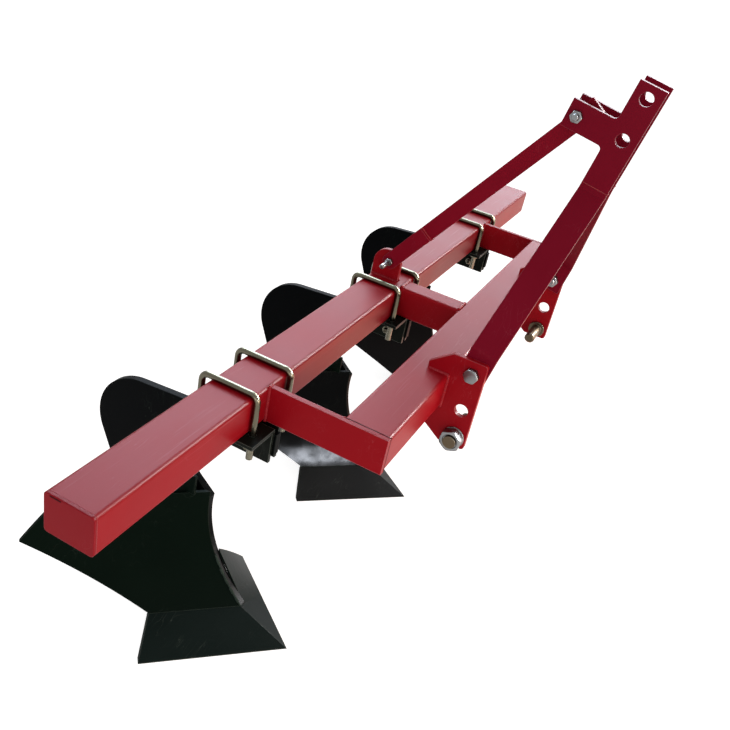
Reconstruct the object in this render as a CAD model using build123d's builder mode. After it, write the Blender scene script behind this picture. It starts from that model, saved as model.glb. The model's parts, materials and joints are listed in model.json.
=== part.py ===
from build123d import *
from math import asin, atan2, cos, degrees, pi, radians, sin, sqrt, tan
import os

os.makedirs("parts", exist_ok=True)

# Three-furrow moldboard plough for a tractor's three-point hitch, in millimetres.
# X runs across to the machine's left, -Y is the way it is pulled, and Z = 0 is the ground.

# Frame: a long beam, a shorter bar in front of it and the pieces welded between them
beam_length = 2256
tube_depth = 100
tube_height = 80
tube_wall = 5
tube_corner = 8
frame_clearance = 552  # ground to the underside of the tubes
cap_thick = 6
cap_chamfer = 1
bar_gap = 160  # between beam and front bar
middle_width = 60
plate_thick = 12  # end plates, brackets and mast

# Hitch brackets on the front bar
bracket_spread = 683  # centre to centre, the spread of the lower pins
bracket_reach = 77  # in front of the bar
bracket_rise = 54  # above the bar
bracket_drop = 83  # below the bar
bracket_toe = 16  # in front of the bar, where the lower edge starts to slant
bracket_lip = 16  # height of the tongue on top of the bar
bracket_round = 8
hole_reach = 48  # the three holes stand this far in front of the bar
mast_bolt_rise = 23  # above the bar
spare_hole_rise = 10  # above the bar's underside
lower_pin_drop = 59  # below the bar's underside

# Lower hitch pins
pin_diameter = 28
pin_length = 80
pin_chamfer = 3
collar_diameter = 44
collar_thick = 8
stud_diameter = 30
pin_washer_diameter = 50
pin_washer_thick = 4
pin_nut_flats = 46
pin_nut_thick = 22
stud_end = 4  # beyond the nut

# Mast: two bent legs that end in upright heads with a rearward arm
mast_lean = 11.3  # degrees forward
leg_width = 62
leg_tail = 30  # below the bolt
leg_foot = 50  # bolt to the lower bend
leg_neck = 367  # bolt to the upper bend
leg_bend_radius = 9
head_start = 382
head_end = 618
head_gap = 68  # between the two heads
top_hole_low = 495.5
top_hole_high = 588.4
top_hole_diameter = 30
arm_bottom = 465
arm_width = 62
arm_reach = 132
arm_fillet = 10
arm_bolt_edge = 24  # from the arm's end

# Stay from the mast's arm down to an ear on the beam
stay_thick = 12
stay_width = 40
stay_tail = 40  # beyond the arm bolt
stay_below = 7  # its centreline passes this far below the arm bolt
ear_offset = 11  # behind the beam's centre
ear_radius = 38
ear_height = 39  # middle of the ear's round top over the beam
ear_gap = 8
stay_pin_forward = 10  # in front of the middle of the ear
stay_pin_rise = 12
stay_pin_out = 50  # beyond the cheek
cheek_thick = 10
cheek_length = 126

# Fasteners
mast_bolt_diameter = 20
mast_bolt_flats = 30
arm_bolt_diameter = 16
arm_bolt_flats = 24
stay_pin_diameter = 12
stay_pin_flats = 18
head_ratio = 0.63  # head height over bolt diameter
nut_ratio = 0.8
thread_end = 7  # beyond a nut
hole_clearance = 0.5  # radial
spacer_diameter = 30

# Plough bodies and the clamps that hold them
body_count = 3
body_spacing = 648
right_shift = 9  # the right body is clamped this far to the right of its U-bolts' middle
shank_thick = 16
shank_setback = 4  # behind the moldboard's front, halfway up
angle_leg = 80
angle_thick = 8
angle_overhang = 32  # in front of the beam and behind it
ubolt_spread = 122
ubolt_diameter = 14
ubolt_front_gap = 1
ubolt_rear_gap = 12
ubolt_end = 494
ubolt_flats = 22
clamp_bolt_diameter = 14
clamp_bolt_flats = 21
clamp_bolt_offset = 36  # either side of the beam's centre
clamp_bolt_drop = 53  # below the beam

# Share and moldboard: every level line runs along the share's edge
share_angle = 43  # from the line of travel
share_ground = 138.5  # edge in front of the shank's face, square to itself
share_back = 48  # its upper edge, the same way
share_rise = 48.5
share_end_low = 175  # outer end along the edge, at the ground
share_end_high = 150.4
cut_margin = 1  # a cutting outline passes its work by this
plate_gauge = 8
board_back = 30.5  # top of the moldboard behind the shank's face
board_upright = 290  # height where the moldboard stands upright
board_top = 321
board_tail_top = 336  # outer end along the edge direction
board_tail = 414.4
board_tail_height = 213
left_angle = 36
left_rear = 35
left_top = 15
left_top_rise = 161.6

# Shank outline, seen from the side
arm_front = -88
arm_depth = 50
arm_fall = 4.6  # degrees
lobe_y = 240
lobe_z = 396
lobe_radius = 116
lobe_lean = 24  # degrees
lobe_run = 65
throat_y = 145
throat_z = 420
throat_radius = 50
lip_start = 307  # top of the curved shin
lip_y = 105
lip_z = 357
heel_y = 90
heel_z = 14
shin_steps = 4

# Bracket behind the top of the moldboard: a level floor and an upright plate
rib_thick = 6
rib_offset = 25  # upright plate to the shank
rib_floor = 292
rib_top = 370
rib_front = 66
rib_rear = 126

frame_top = frame_clearance + tube_height
frame_mid = frame_clearance + tube_height / 2
beam_front = -tube_depth / 2
bar_rear = beam_front - bar_gap
bar_front = bar_rear - tube_depth
bar_mid = (bar_rear + bar_front) / 2
bar_length = (body_count - 1) * body_spacing - plate_thick
bracket_inner = bracket_spread / 2 - plate_thick / 2
bracket_outer = bracket_inner + plate_thick
hole_y = bar_front - hole_reach
mast_z = frame_top + mast_bolt_rise
arm_bolt_reach = arm_reach - arm_bolt_edge
lower_pin_z = frame_clearance - lower_pin_drop
pieces = {}


def keep(part, name):
    part.label = name
    pieces[name] = part


# Small pieces that lie along X: stepped pins, bolts and nuts
def turned(y, z, steps):
    with BuildPart() as pin:
        for start, end, diameter in steps:
            with BuildSketch(Plane.YZ.offset(start)):
                with Locations((y, z)):
                    Circle(diameter / 2)
            extrude(amount=end - start)
    return pin.part


def bolt(y, z, seat, end, diameter, flats):
    away = 1 if seat > end else -1
    with BuildPart() as screw:
        with BuildSketch(Plane.YZ.offset(seat)):
            with Locations((y, z)):
                RegularPolygon(flats / 2, 6, major_radius=False)
        extrude(amount=away * head_ratio * diameter)
        with BuildSketch(Plane.YZ.offset(seat)):
            with Locations((y, z)):
                Circle(diameter / 2)
        extrude(amount=end - seat)
    return screw.part


def nut(y, z, seat, thick, diameter, flats):
    with BuildPart() as ring:
        with BuildSketch(Plane.YZ.offset(seat)):
            with Locations((y, z)):
                RegularPolygon(flats / 2, 6, major_radius=False)
                Circle(diameter / 2, mode=Mode.SUBTRACT)
        extrude(amount=thick)
    return ring.part


def ring(y, z, seat, thick, outer, inner):
    with BuildPart() as washer:
        with BuildSketch(Plane.YZ.offset(seat)):
            with Locations((y, z)):
                Circle(outer / 2)
                Circle(inner / 2, mode=Mode.SUBTRACT)
        extrude(amount=thick)
    return washer.part


def cross_tube(y, length):
    with BuildPart() as tube:
        with BuildSketch(Plane.YZ):
            with Locations((y, frame_mid)):
                RectangleRounded(tube_depth, tube_height, tube_corner)
                RectangleRounded(
                    tube_depth - 2 * tube_wall,
                    tube_height - 2 * tube_wall,
                    tube_corner - tube_wall,
                    mode=Mode.SUBTRACT,
                )
        extrude(amount=length / 2, both=True)
    return tube.part


# Frame
keep(cross_tube(0, beam_length - 2 * cap_thick), "beam_tube")
keep(cross_tube(bar_mid, bar_length), "front_bar")

for side, name in ((-1, "right"), (1, "left")):
    with BuildPart() as beam_cap:
        with BuildSketch(Plane.YZ.offset(side * (beam_length / 2 - cap_thick))):
            with Locations((0, frame_mid)):
                RectangleRounded(tube_depth, tube_height, tube_corner)
        extrude(amount=side * cap_thick)
        ends = beam_cap.faces().filter_by(Axis.X).sort_by(Axis.X)
        chamfer(ends[-1 if side > 0 else 0].edges(), cap_chamfer)
    keep(beam_cap.part, f"beam_cap_{name}")

    with BuildPart() as end_plate:
        with BuildSketch(Plane.YZ.offset(side * bar_length / 2)):
            with Locations(((beam_front + bar_front) / 2, frame_mid)):
                Rectangle(bar_gap + tube_depth, tube_height)
        extrude(amount=side * plate_thick)
    keep(end_plate.part, f"end_plate_{name}")

with BuildPart() as middle_tube:
    with BuildSketch(Plane.XZ.offset(-bar_rear)):
        with Locations((0, frame_mid)):
            RectangleRounded(middle_width, tube_height, tube_corner)
            RectangleRounded(
                middle_width - 2 * tube_wall,
                tube_height - 2 * tube_wall,
                tube_corner - tube_wall,
                mode=Mode.SUBTRACT,
            )
    extrude(amount=-bar_gap)
keep(middle_tube.part, "middle_tube")

ear_z = frame_top + ear_height
pin_y = ear_offset - stay_pin_forward
pin_z = ear_z + stay_pin_rise
with BuildPart() as stay_ear:
    with BuildSketch(Plane.YZ.offset(-stay_thick / 2)):
        with Locations((ear_offset, ear_z)):
            Circle(ear_radius)
        with Locations((ear_offset, ear_z - ear_height / 2)):
            Rectangle(2 * ear_radius, ear_height)
        with Locations((pin_y, pin_z)):
            Circle(stay_pin_diameter / 2 + hole_clearance, mode=Mode.SUBTRACT)
        with Locations((ear_offset, frame_top - ear_radius)):
            Rectangle(2 * ear_radius, 2 * ear_radius, mode=Mode.SUBTRACT)
    extrude(amount=stay_thick)
keep(stay_ear.part, "stay_ear")

# Hitch: brackets, lower pins, mast and their fasteners
bracket_low = frame_clearance - bracket_drop
bracket_front = bar_front - bracket_reach
bracket_outline = [
    (bar_front, frame_clearance),
    (bar_rear, frame_clearance),
    (bar_front - bracket_toe, bracket_low),
    (bracket_front, bracket_low),
    (bracket_front, frame_top + bracket_rise),
    (bar_front, frame_top + bracket_rise),
    (bar_mid, frame_top + bracket_lip),
    (bar_mid, frame_top),
    (bar_front, frame_top),
]
bracket_holes = [
    (mast_z, mast_bolt_diameter + 2 * hole_clearance),
    (frame_clearance + spare_hole_rise, stud_diameter + 2 * hole_clearance),
    (lower_pin_z, stud_diameter + 2 * hole_clearance),
]
spin = radians(mast_lean)


def mast_side(x):
    return Plane(origin=(x, hole_y, mast_z), x_dir=(0, cos(spin), sin(spin)), z_dir=(1, 0, 0))


def is_elbow(edge):
    spot = mast_side(0).to_local_coords(edge.center())
    beside = abs(spot.X - leg_width / 2) < arm_fillet
    return beside and arm_bottom - arm_fillet < spot.Y < arm_bottom + arm_width + arm_fillet


for side, name in ((-1, "right"), (1, "left")):
    with BuildPart() as hitch_bracket:
        with BuildSketch(Plane.YZ.offset(side * bracket_inner)):
            with BuildLine():
                Polyline(*bracket_outline, close=True)
            make_face()
            for z, diameter in bracket_holes:
                with Locations((hole_y, z)):
                    Circle(diameter / 2, mode=Mode.SUBTRACT)
        extrude(amount=side * plate_thick)
        uprights = hitch_bracket.edges().filter_by(Axis.X).group_by(Axis.Y)
        fillet(uprights[0], bracket_round)
    keep(hitch_bracket.part, f"hitch_bracket_{name}")

    pin_steps = [
        (side * bracket_inner, side * (bracket_inner - pin_length), pin_diameter),
        (side * bracket_inner, side * (bracket_inner - collar_thick), collar_diameter),
        (
            side * bracket_inner,
            side * (bracket_outer + pin_washer_thick + pin_nut_thick + stud_end),
            stud_diameter,
        ),
    ]
    with BuildPart() as lower_pin:
        add(turned(hole_y, lower_pin_z, pin_steps))
        tips = lower_pin.edges().filter_by(GeomType.CIRCLE).sort_by(Axis.X)
        chamfer(tips[-1 if side < 0 else 0], pin_chamfer)
    keep(lower_pin.part, f"lower_pin_{name}")

    with BuildPart() as mast_leg:
        with BuildSketch(Plane(origin=(0, hole_y, mast_z), x_dir=(1, 0, 0), z_dir=(0, -cos(spin), -sin(spin)))):
            with BuildLine():
                FilletPolyline(
                    (side * (bracket_inner - plate_thick / 2), -leg_tail),
                    (side * (bracket_inner - plate_thick / 2), leg_foot),
                    (side * (head_gap + plate_thick) / 2, leg_neck),
                    (side * (head_gap + plate_thick) / 2, head_start),
                    radius=leg_bend_radius,
                )
            trace(line_width=plate_thick)
        extrude(amount=leg_width / 2, both=True)
        with BuildSketch(mast_side(side * bracket_inner)):
            Circle(mast_bolt_diameter / 2 + hole_clearance)
        extrude(amount=-side * plate_thick, mode=Mode.SUBTRACT)
    keep(mast_leg.part, f"mast_leg_{name}")

    with BuildPart() as mast_head:
        with BuildSketch(mast_side(side * head_gap / 2)):
            with BuildLine():
                Polyline(
                    (-leg_width / 2, head_start),
                    (leg_width / 2, head_start),
                    (leg_width / 2, arm_bottom),
                    (arm_reach, arm_bottom),
                    (arm_reach, arm_bottom + arm_width),
                    (leg_width / 2, arm_bottom + arm_width),
                    (leg_width / 2, head_end),
                    (-leg_width / 2, head_end),
                    close=True,
                )
            make_face()
            for rise in (top_hole_low, top_hole_high):
                with Locations((0, rise)):
                    Circle(top_hole_diameter / 2, mode=Mode.SUBTRACT)
            with Locations((arm_bolt_reach, arm_bottom + arm_width / 2)):
                Circle(arm_bolt_diameter / 2 + hole_clearance, mode=Mode.SUBTRACT)
        extrude(amount=side * plate_thick)
        elbows = mast_head.edges().filter_by(Axis.X).filter_by(is_elbow)
        fillet(elbows, arm_fillet)
    keep(mast_head.part, f"mast_head_{name}")

arm_y = hole_y + arm_bolt_reach * cos(spin) - (arm_bottom + arm_width / 2) * sin(spin)
arm_z = mast_z + arm_bolt_reach * sin(spin) + (arm_bottom + arm_width / 2) * cos(spin)
stud_seat = bracket_outer + pin_washer_thick
with BuildPart() as pin_washers:
    for seat in (-bracket_outer - pin_washer_thick, bracket_outer):
        add(ring(hole_y, lower_pin_z, seat, pin_washer_thick, pin_washer_diameter, stud_diameter))
keep(pin_washers.part, "pin_washers")

with BuildPart() as pin_nuts:
    for seat in (-stud_seat - pin_nut_thick, stud_seat):
        add(nut(hole_y, lower_pin_z, seat, pin_nut_thick, stud_diameter, pin_nut_flats))
keep(pin_nuts.part, "pin_nuts")

leg_inner = bracket_inner - plate_thick
nut_thick = nut_ratio * mast_bolt_diameter
with BuildPart() as leg_bolts:
    for side in (-1, 1):
        end = side * (leg_inner - nut_thick - thread_end)
        add(bolt(hole_y, mast_z, side * bracket_outer, end, mast_bolt_diameter, mast_bolt_flats))
keep(leg_bolts.part, "leg_bolts")

with BuildPart() as leg_nuts:
    for seat in (-leg_inner, leg_inner - nut_thick):
        add(nut(hole_y, mast_z, seat, nut_thick, mast_bolt_diameter, mast_bolt_flats))
keep(leg_nuts.part, "leg_nuts")

arm_outer = head_gap / 2 + plate_thick
arm_nut_thick = nut_ratio * arm_bolt_diameter
arm_end = -arm_outer - arm_nut_thick - thread_end
keep(bolt(arm_y, arm_z, arm_outer, arm_end, arm_bolt_diameter, arm_bolt_flats), "arm_bolt")
arm_seat = -arm_outer - arm_nut_thick
keep(nut(arm_y, arm_z, arm_seat, arm_nut_thick, arm_bolt_diameter, arm_bolt_flats), "arm_nut")

spacer_long = (head_gap - stay_thick) / 2
with BuildPart() as arm_spacers:
    for seat in (-head_gap / 2, stay_thick / 2):
        add(ring(arm_y, arm_z, seat, spacer_long, spacer_diameter, arm_bolt_diameter))
keep(arm_spacers.part, "arm_spacers")

# Stay
stay_run = sqrt((arm_y - pin_y) ** 2 + (arm_z - pin_z) ** 2)
stay_turn = atan2(arm_z - pin_z, arm_y - pin_y) + asin(stay_below / stay_run)


def stay_plane(x):
    return Plane(origin=(x, pin_y, pin_z), x_dir=(0, cos(stay_turn), sin(stay_turn)), z_dir=(1, 0, 0))


stay_start = ear_radius + ear_gap - sqrt(stay_pin_forward**2 + stay_pin_rise**2)
stay_end = stay_run + stay_tail
with BuildPart() as stay_bar:
    with BuildSketch(stay_plane(-stay_thick / 2)):
        with Locations(((stay_start + stay_end) / 2, 0)):
            Rectangle(stay_end - stay_start, stay_width)
        with Locations((sqrt(stay_run**2 - stay_below**2), -stay_below)):
            Circle(arm_bolt_diameter / 2 + hole_clearance, mode=Mode.SUBTRACT)
    extrude(amount=stay_thick)
keep(stay_bar.part, "stay_bar")

with BuildPart() as stay_cheeks:
    for side in (-1, 1):
        with BuildSketch(stay_plane(side * stay_thick / 2)):
            Circle(stay_width / 2)
            with Locations((cheek_length / 2, 0)):
                Rectangle(cheek_length, stay_width)
            Circle(stay_pin_diameter / 2 + hole_clearance, mode=Mode.SUBTRACT)
        extrude(amount=side * cheek_thick)
keep(stay_cheeks.part, "stay_cheeks")

cheek_outer = stay_thick / 2 + cheek_thick
stay_nut = nut_ratio * stay_pin_diameter
stay_pin_end = -cheek_outer - stay_pin_out
keep(bolt(pin_y, pin_z, cheek_outer, stay_pin_end, stay_pin_diameter, stay_pin_flats), "stay_pin")
stay_seat = -cheek_outer - stay_nut
keep(nut(pin_y, pin_z, stay_seat, stay_nut, stay_pin_diameter, stay_pin_flats), "stay_pin_nut")

# Plough bodies. A body's plane of sections stands square to the share's edge:
# its x is the distance in front of the shank's face, its y is the height.
turn = radians(share_angle)
along = Vector(-sin(turn), cos(turn), 0)
rearward = Vector(cos(turn), sin(turn), 0)
share_slope = atan2(share_rise, share_ground - share_back)
board_sweep = share_back + board_back
board_drop = board_upright - share_rise
board_radius = (board_sweep**2 + board_drop**2) / (2 * board_sweep)
board_arc = degrees(asin(board_drop / board_radius))
toe_y = -share_back / sin(turn)
tip_y = -share_ground / sin(turn)
shank_half = shank_thick / 2
reach = 2 * board_tail


def shin_y(z):
    swept = board_radius - sqrt(board_radius**2 - (board_upright - z) ** 2)
    return (board_back - swept) / sin(turn)


def board_face(face_x, gauge):
    """Closed section between the moldboard's front and a surface this far behind it."""
    centre = (board_radius - board_back, board_upright)
    with BuildSketch(Plane(origin=(face_x, 0, 0), x_dir=-rearward, z_dir=along).offset(-reach)) as section:
        with BuildLine():
            front = CenterArc(centre, board_radius, 180, board_arc + 5)
            back = CenterArc(centre, board_radius + gauge, 180, board_arc + 5)
            Line(front @ 1, back @ 1)
            Polyline(front @ 0, (-board_back, board_top), (-board_back - gauge, board_top), back @ 0)
        make_face()
    return section.sketch


def board_space(face_x):
    """Section of everything in front of the moldboard's back."""
    centre = (board_radius - board_back, board_upright)
    with BuildSketch(Plane(origin=(face_x, 0, 0), x_dir=-rearward, z_dir=along).offset(-reach)) as section:
        with BuildLine():
            back = CenterArc(centre, board_radius + plate_gauge, 180, board_arc)
            Polyline(back @ 0, (-board_back - plate_gauge, board_top), (reach, board_top), (reach, 0), back @ 1)
        make_face()
    return section.sketch


def make_moldboard(face_x):
    side_view = Plane(origin=(face_x, 0, 0), x_dir=along, z_dir=rearward)
    share_end = Plane(
        origin=Vector(face_x, 0, share_rise) - rearward * share_back,
        x_dir=along,
        z_dir=rearward * cos(share_slope) + Vector(0, 0, sin(share_slope)),
    )
    with BuildPart() as moldboard:
        extrude(board_face(face_x, plate_gauge), amount=2 * reach)
        with BuildSketch(side_view.offset(-reach)):
            with BuildLine():
                Polyline(
                    (-reach, 0),
                    (share_end_low, 0),
                    (share_end_high, share_rise),
                    (board_tail, board_tail_height),
                    (board_tail_top, board_top),
                    (-reach, board_top),
                    close=True,
                )
            make_face()
        extrude(amount=2 * reach, mode=Mode.INTERSECT)
        split(bisect_by=Plane(origin=(face_x, 0, 0), z_dir=(-1, 0, 0)), keep=Keep.TOP)
        split(bisect_by=share_end, keep=Keep.TOP)
    return moldboard.part


def make_shank(face_x):
    fall = radians(arm_fall)
    lean = radians(lobe_lean)
    top = (lobe_y + lobe_radius * sin(fall), lobe_z + lobe_radius * cos(fall))
    rear = (lobe_y + lobe_radius * cos(lean), lobe_z - lobe_radius * sin(lean))
    rear_low = (rear[0] - lobe_run * sin(lean), rear[1] - lobe_run * cos(lean))
    under = (throat_y + throat_radius * sin(fall), throat_z + throat_radius * cos(fall))
    nose_rise = top[1] + (top[0] - arm_front) * sin(fall) / cos(fall)
    climb = (lip_start - share_rise) / shin_steps
    heights = [share_rise + climb * step for step in range(shin_steps + 1)]
    shin_points = []
    for step, z in enumerate(heights):
        shin_points.append((shin_y(z) + shank_setback * sin(pi * step / shin_steps), z))
    with BuildPart() as shank:
        with BuildSketch(Plane.YZ.offset(face_x)):
            with BuildLine():
                Line((arm_front, nose_rise), top)
                ThreePointArc(top, (lobe_y + lobe_radius, lobe_z), rear)
                Line(rear, rear_low)
                heel = TangentArc(rear_low, (heel_y, heel_z), tangent=(-sin(lean), -cos(lean)))
                Polyline(heel @ 1, (toe_y, heel_z), shin_points[0])
                shin = Spline(*shin_points)
                Polyline(shin @ 1, (lip_y, lip_z), (throat_y, throat_z - throat_radius))
                bay = ThreePointArc(
                    (throat_y, throat_z - throat_radius), (throat_y + throat_radius, throat_z), under
                )
                Polyline(bay @ 1, (arm_front, nose_rise - arm_depth), (arm_front, nose_rise))
            make_face()
            for y in (-clamp_bolt_offset, clamp_bolt_offset):
                with Locations((y, frame_clearance - clamp_bolt_drop)):
                    Circle(clamp_bolt_diameter / 2 + hole_clearance, mode=Mode.SUBTRACT)
        extrude(amount=shank_thick)
    return shank.part


def make_share(face_x):
    """V-shaped share: right wing under the moldboard, a solid nose and a left wing."""
    left_x = face_x + shank_thick
    spread = tan(radians(left_angle))
    end_lean = (share_end_low - share_end_high) / share_rise
    with BuildPart() as right_wing:
        section = Plane(origin=(face_x, 0, 0), x_dir=-rearward, z_dir=along)
        under = Vector(-sin(share_slope), -cos(share_slope)) * plate_gauge
        with BuildSketch(section.offset(-reach)):
            with BuildLine():
                Polyline(
                    (share_ground, 0),
                    (share_back, share_rise),
                    (share_back + under.X, share_rise + under.Y),
                    (share_ground - plate_gauge / sin(share_slope), 0),
                    close=True,
                )
            make_face()
        extrude(amount=2 * reach)
        with BuildSketch(Plane(origin=(face_x, 0, 0), x_dir=along, z_dir=rearward).offset(-reach)):
            with BuildLine():
                Polyline(
                    (-reach, -cut_margin),
                    (share_end_low + end_lean * cut_margin, -cut_margin),
                    (share_end_high - end_lean * cut_margin, share_rise + cut_margin),
                    (-reach, share_rise + cut_margin),
                    close=True,
                )
            make_face()
        extrude(amount=2 * reach, mode=Mode.INTERSECT)
        split(bisect_by=Plane(origin=(face_x, 0, 0), z_dir=(-1, 0, 0)), keep=Keep.TOP)

    corner_x = face_x + (toe_y - tip_y) * spread
    with BuildPart() as nose:
        with BuildSketch():
            with BuildLine():
                Polyline((face_x, tip_y), (face_x, toe_y), (corner_x, toe_y), close=True)
            make_face()
        extrude(amount=2 * share_rise)
        edge = Vector(corner_x - face_x, toe_y - tip_y, 0)
        ridge = Vector(0, toe_y - tip_y, share_rise)
        split(bisect_by=Plane(origin=(face_x, tip_y, 0), z_dir=edge.cross(ridge)), keep=Keep.BOTTOM)

    toe_rise = share_rise * (1 - shank_thick / (corner_x - face_x))
    climb = (left_top_rise - toe_rise) / (left_top - toe_y)
    with BuildPart() as left_wing:
        for y in (toe_y, left_rear + plate_gauge):
            edge_x = face_x + (y - tip_y) * spread
            top = toe_rise + (y - toe_y) * climb
            slope = atan2(top, edge_x - left_x)
            with BuildSketch(Plane.XZ.offset(-y)):
                with BuildLine():
                    Polyline(
                        (edge_x, 0),
                        (left_x, top),
                        (left_x, top - plate_gauge / cos(slope)),
                        (edge_x - plate_gauge / sin(slope), 0),
                        close=True,
                    )
                make_face()
        loft(ruled=True)
        edge_x = face_x + (left_rear - tip_y) * spread
        rear = Plane(origin=(edge_x, left_rear, 0), z_dir=(left_top - left_rear, edge_x - left_x, 0))
        split(bisect_by=rear, keep=Keep.BOTTOM)

    with BuildPart() as share:
        add(nose)
        add(left_wing)
        add(right_wing)
    return share.part


def make_rib(face_x):
    """Bracket in the corner between the shank and the moldboard's back."""
    outer_x = face_x - rib_offset - rib_thick
    with BuildPart() as rib:
        with BuildSketch(Plane.XY.offset(rib_floor)):
            with BuildLine():
                Polyline(
                    (face_x, rib_front - rib_offset),
                    (face_x, rib_rear),
                    (outer_x, rib_rear),
                    (outer_x, rib_front - rib_offset),
                    close=True,
                )
            make_face()
        extrude(amount=rib_thick)
        with BuildSketch(Plane.YZ.offset(outer_x)):
            with BuildLine():
                Polyline(
                    (rib_front, rib_floor),
                    (rib_rear, rib_floor),
                    (rib_rear, rib_top),
                    (rib_front, rib_top),
                    close=True,
                )
            make_face()
        extrude(amount=rib_thick)
        extrude(board_space(face_x), amount=2 * reach, mode=Mode.SUBTRACT)
    return rib.part


def make_clamp_angles(body_x, clamp_x):
    """Two angles along the beam's underside with the shank between their webs."""
    with BuildPart() as clamp_angles:
        for side in (-1, 1):
            web = body_x + side * shank_half
            toe = web + side * angle_leg
            back = frame_clearance - angle_leg
            with BuildSketch(Plane.XZ):
                with BuildLine():
                    Polyline(
                        (web, frame_clearance),
                        (toe, frame_clearance),
                        (toe, frame_clearance - angle_thick),
                        (web + side * angle_thick, frame_clearance - angle_thick),
                        (web + side * angle_thick, back),
                        (web, back),
                        close=True,
                    )
                make_face()
            extrude(amount=tube_depth / 2 + angle_overhang, both=True)
        for x in (clamp_x - ubolt_spread / 2, clamp_x + ubolt_spread / 2):
            for y in (ubolt_front, ubolt_rear):
                with BuildSketch(Plane.XY.offset(frame_clearance)):
                    with Locations((x, y)):
                        Circle(ubolt_diameter / 2 + hole_clearance)
                extrude(amount=-angle_thick, mode=Mode.SUBTRACT)
        for y in (-clamp_bolt_offset, clamp_bolt_offset):
            with BuildSketch(Plane.YZ.offset(body_x - angle_leg)):
                with Locations((y, frame_clearance - clamp_bolt_drop)):
                    Circle(clamp_bolt_diameter / 2 + hole_clearance)
            extrude(amount=2 * angle_leg, mode=Mode.SUBTRACT)
    return clamp_angles.part


ubolt_front = beam_front - ubolt_front_gap - ubolt_diameter / 2
ubolt_rear = -beam_front + ubolt_rear_gap + ubolt_diameter / 2
ubolt_top = frame_top + ubolt_diameter / 2
ubolt_bend = tube_corner + ubolt_front_gap + ubolt_diameter / 2
ubolt_nut = nut_ratio * ubolt_diameter


def make_ubolts(clamp_x):
    with BuildPart() as ubolts:
        for x in (clamp_x - ubolt_spread / 2, clamp_x + ubolt_spread / 2):
            with BuildLine(Plane.YZ.offset(x)) as rod:
                FilletPolyline(
                    (ubolt_front, ubolt_end),
                    (ubolt_front, ubolt_top),
                    (ubolt_rear, ubolt_top),
                    (ubolt_rear, ubolt_end),
                    radius=ubolt_bend,
                )
            with BuildSketch(Plane.XY.offset(ubolt_end)):
                with Locations((x, ubolt_front)):
                    Circle(ubolt_diameter / 2)
            sweep(path=rod.line)
    return ubolts.part


def make_ubolt_nuts(clamp_x):
    with BuildPart() as ubolt_nuts:
        with BuildSketch(Plane.XY.offset(frame_clearance - angle_thick)):
            with Locations((clamp_x, (ubolt_front + ubolt_rear) / 2)):
                with GridLocations(ubolt_spread, ubolt_rear - ubolt_front, 2, 2):
                    RegularPolygon(ubolt_flats / 2, 6, major_radius=False)
                    Circle(ubolt_diameter / 2, mode=Mode.SUBTRACT)
        extrude(amount=-ubolt_nut)
    return ubolt_nuts.part


clamp_z = frame_clearance - clamp_bolt_drop
clamp_face = shank_half + angle_thick
clamp_nut = nut_ratio * clamp_bolt_diameter
for index in range(body_count):
    name = ("right", "middle", "left")[index]
    clamp_x = (index - (body_count - 1) / 2) * body_spacing
    body_x = clamp_x - right_shift if name == "right" else clamp_x
    face_x = body_x - shank_half
    keep(make_shank(face_x), f"shank_{name}")
    keep(make_moldboard(face_x), f"moldboard_{name}")
    keep(make_share(face_x), f"share_{name}")
    keep(make_rib(face_x), f"rib_{name}")
    keep(make_clamp_angles(body_x, clamp_x), f"clamp_angles_{name}")
    keep(make_ubolts(clamp_x), f"ubolts_{name}")
    keep(make_ubolt_nuts(clamp_x), f"ubolt_nuts_{name}")

    with BuildPart() as clamp_bolts:
        for y in (-clamp_bolt_offset, clamp_bolt_offset):
            end = body_x - clamp_face - clamp_nut - thread_end
            add(bolt(y, clamp_z, body_x + clamp_face, end, clamp_bolt_diameter, clamp_bolt_flats))
    keep(clamp_bolts.part, f"clamp_bolts_{name}")

    with BuildPart() as clamp_nuts:
        for y in (-clamp_bolt_offset, clamp_bolt_offset):
            seat = body_x - clamp_face - clamp_nut
            add(nut(y, clamp_z, seat, clamp_nut, clamp_bolt_diameter, clamp_bolt_flats))
    keep(clamp_nuts.part, f"clamp_nuts_{name}")

# The origin stands on the ground under the middle of the whole plough
boxes = [part.bounding_box() for part in pieces.values()]
middle_y = (min(box.min.Y for box in boxes) + max(box.max.Y for box in boxes)) / 2
for name, part in pieces.items():
    placed = Pos(0, -middle_y, 0) * part
    placed.label = name
    export_step(placed, f"parts/{name}.step")
print("middle", round(middle_y, 3), "pieces", len(pieces))
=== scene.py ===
import json
import math
import bpy
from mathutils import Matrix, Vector


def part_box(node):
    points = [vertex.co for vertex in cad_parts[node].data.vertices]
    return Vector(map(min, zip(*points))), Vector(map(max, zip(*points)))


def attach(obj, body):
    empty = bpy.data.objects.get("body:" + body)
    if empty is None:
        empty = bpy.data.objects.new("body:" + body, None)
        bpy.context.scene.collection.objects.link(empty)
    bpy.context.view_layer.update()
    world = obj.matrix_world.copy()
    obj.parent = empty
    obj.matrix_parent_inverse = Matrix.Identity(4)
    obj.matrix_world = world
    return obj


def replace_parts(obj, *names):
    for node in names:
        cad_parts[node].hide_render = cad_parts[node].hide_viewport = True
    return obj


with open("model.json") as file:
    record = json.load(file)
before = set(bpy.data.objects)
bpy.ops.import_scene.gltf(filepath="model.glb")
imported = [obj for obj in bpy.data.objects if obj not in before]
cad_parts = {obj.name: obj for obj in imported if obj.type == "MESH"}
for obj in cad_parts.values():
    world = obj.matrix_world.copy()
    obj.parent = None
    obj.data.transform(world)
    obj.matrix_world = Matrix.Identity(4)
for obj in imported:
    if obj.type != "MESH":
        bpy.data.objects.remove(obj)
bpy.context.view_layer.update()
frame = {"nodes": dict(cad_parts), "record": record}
bpy.ops.object.select_all(action="DESELECT")
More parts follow.
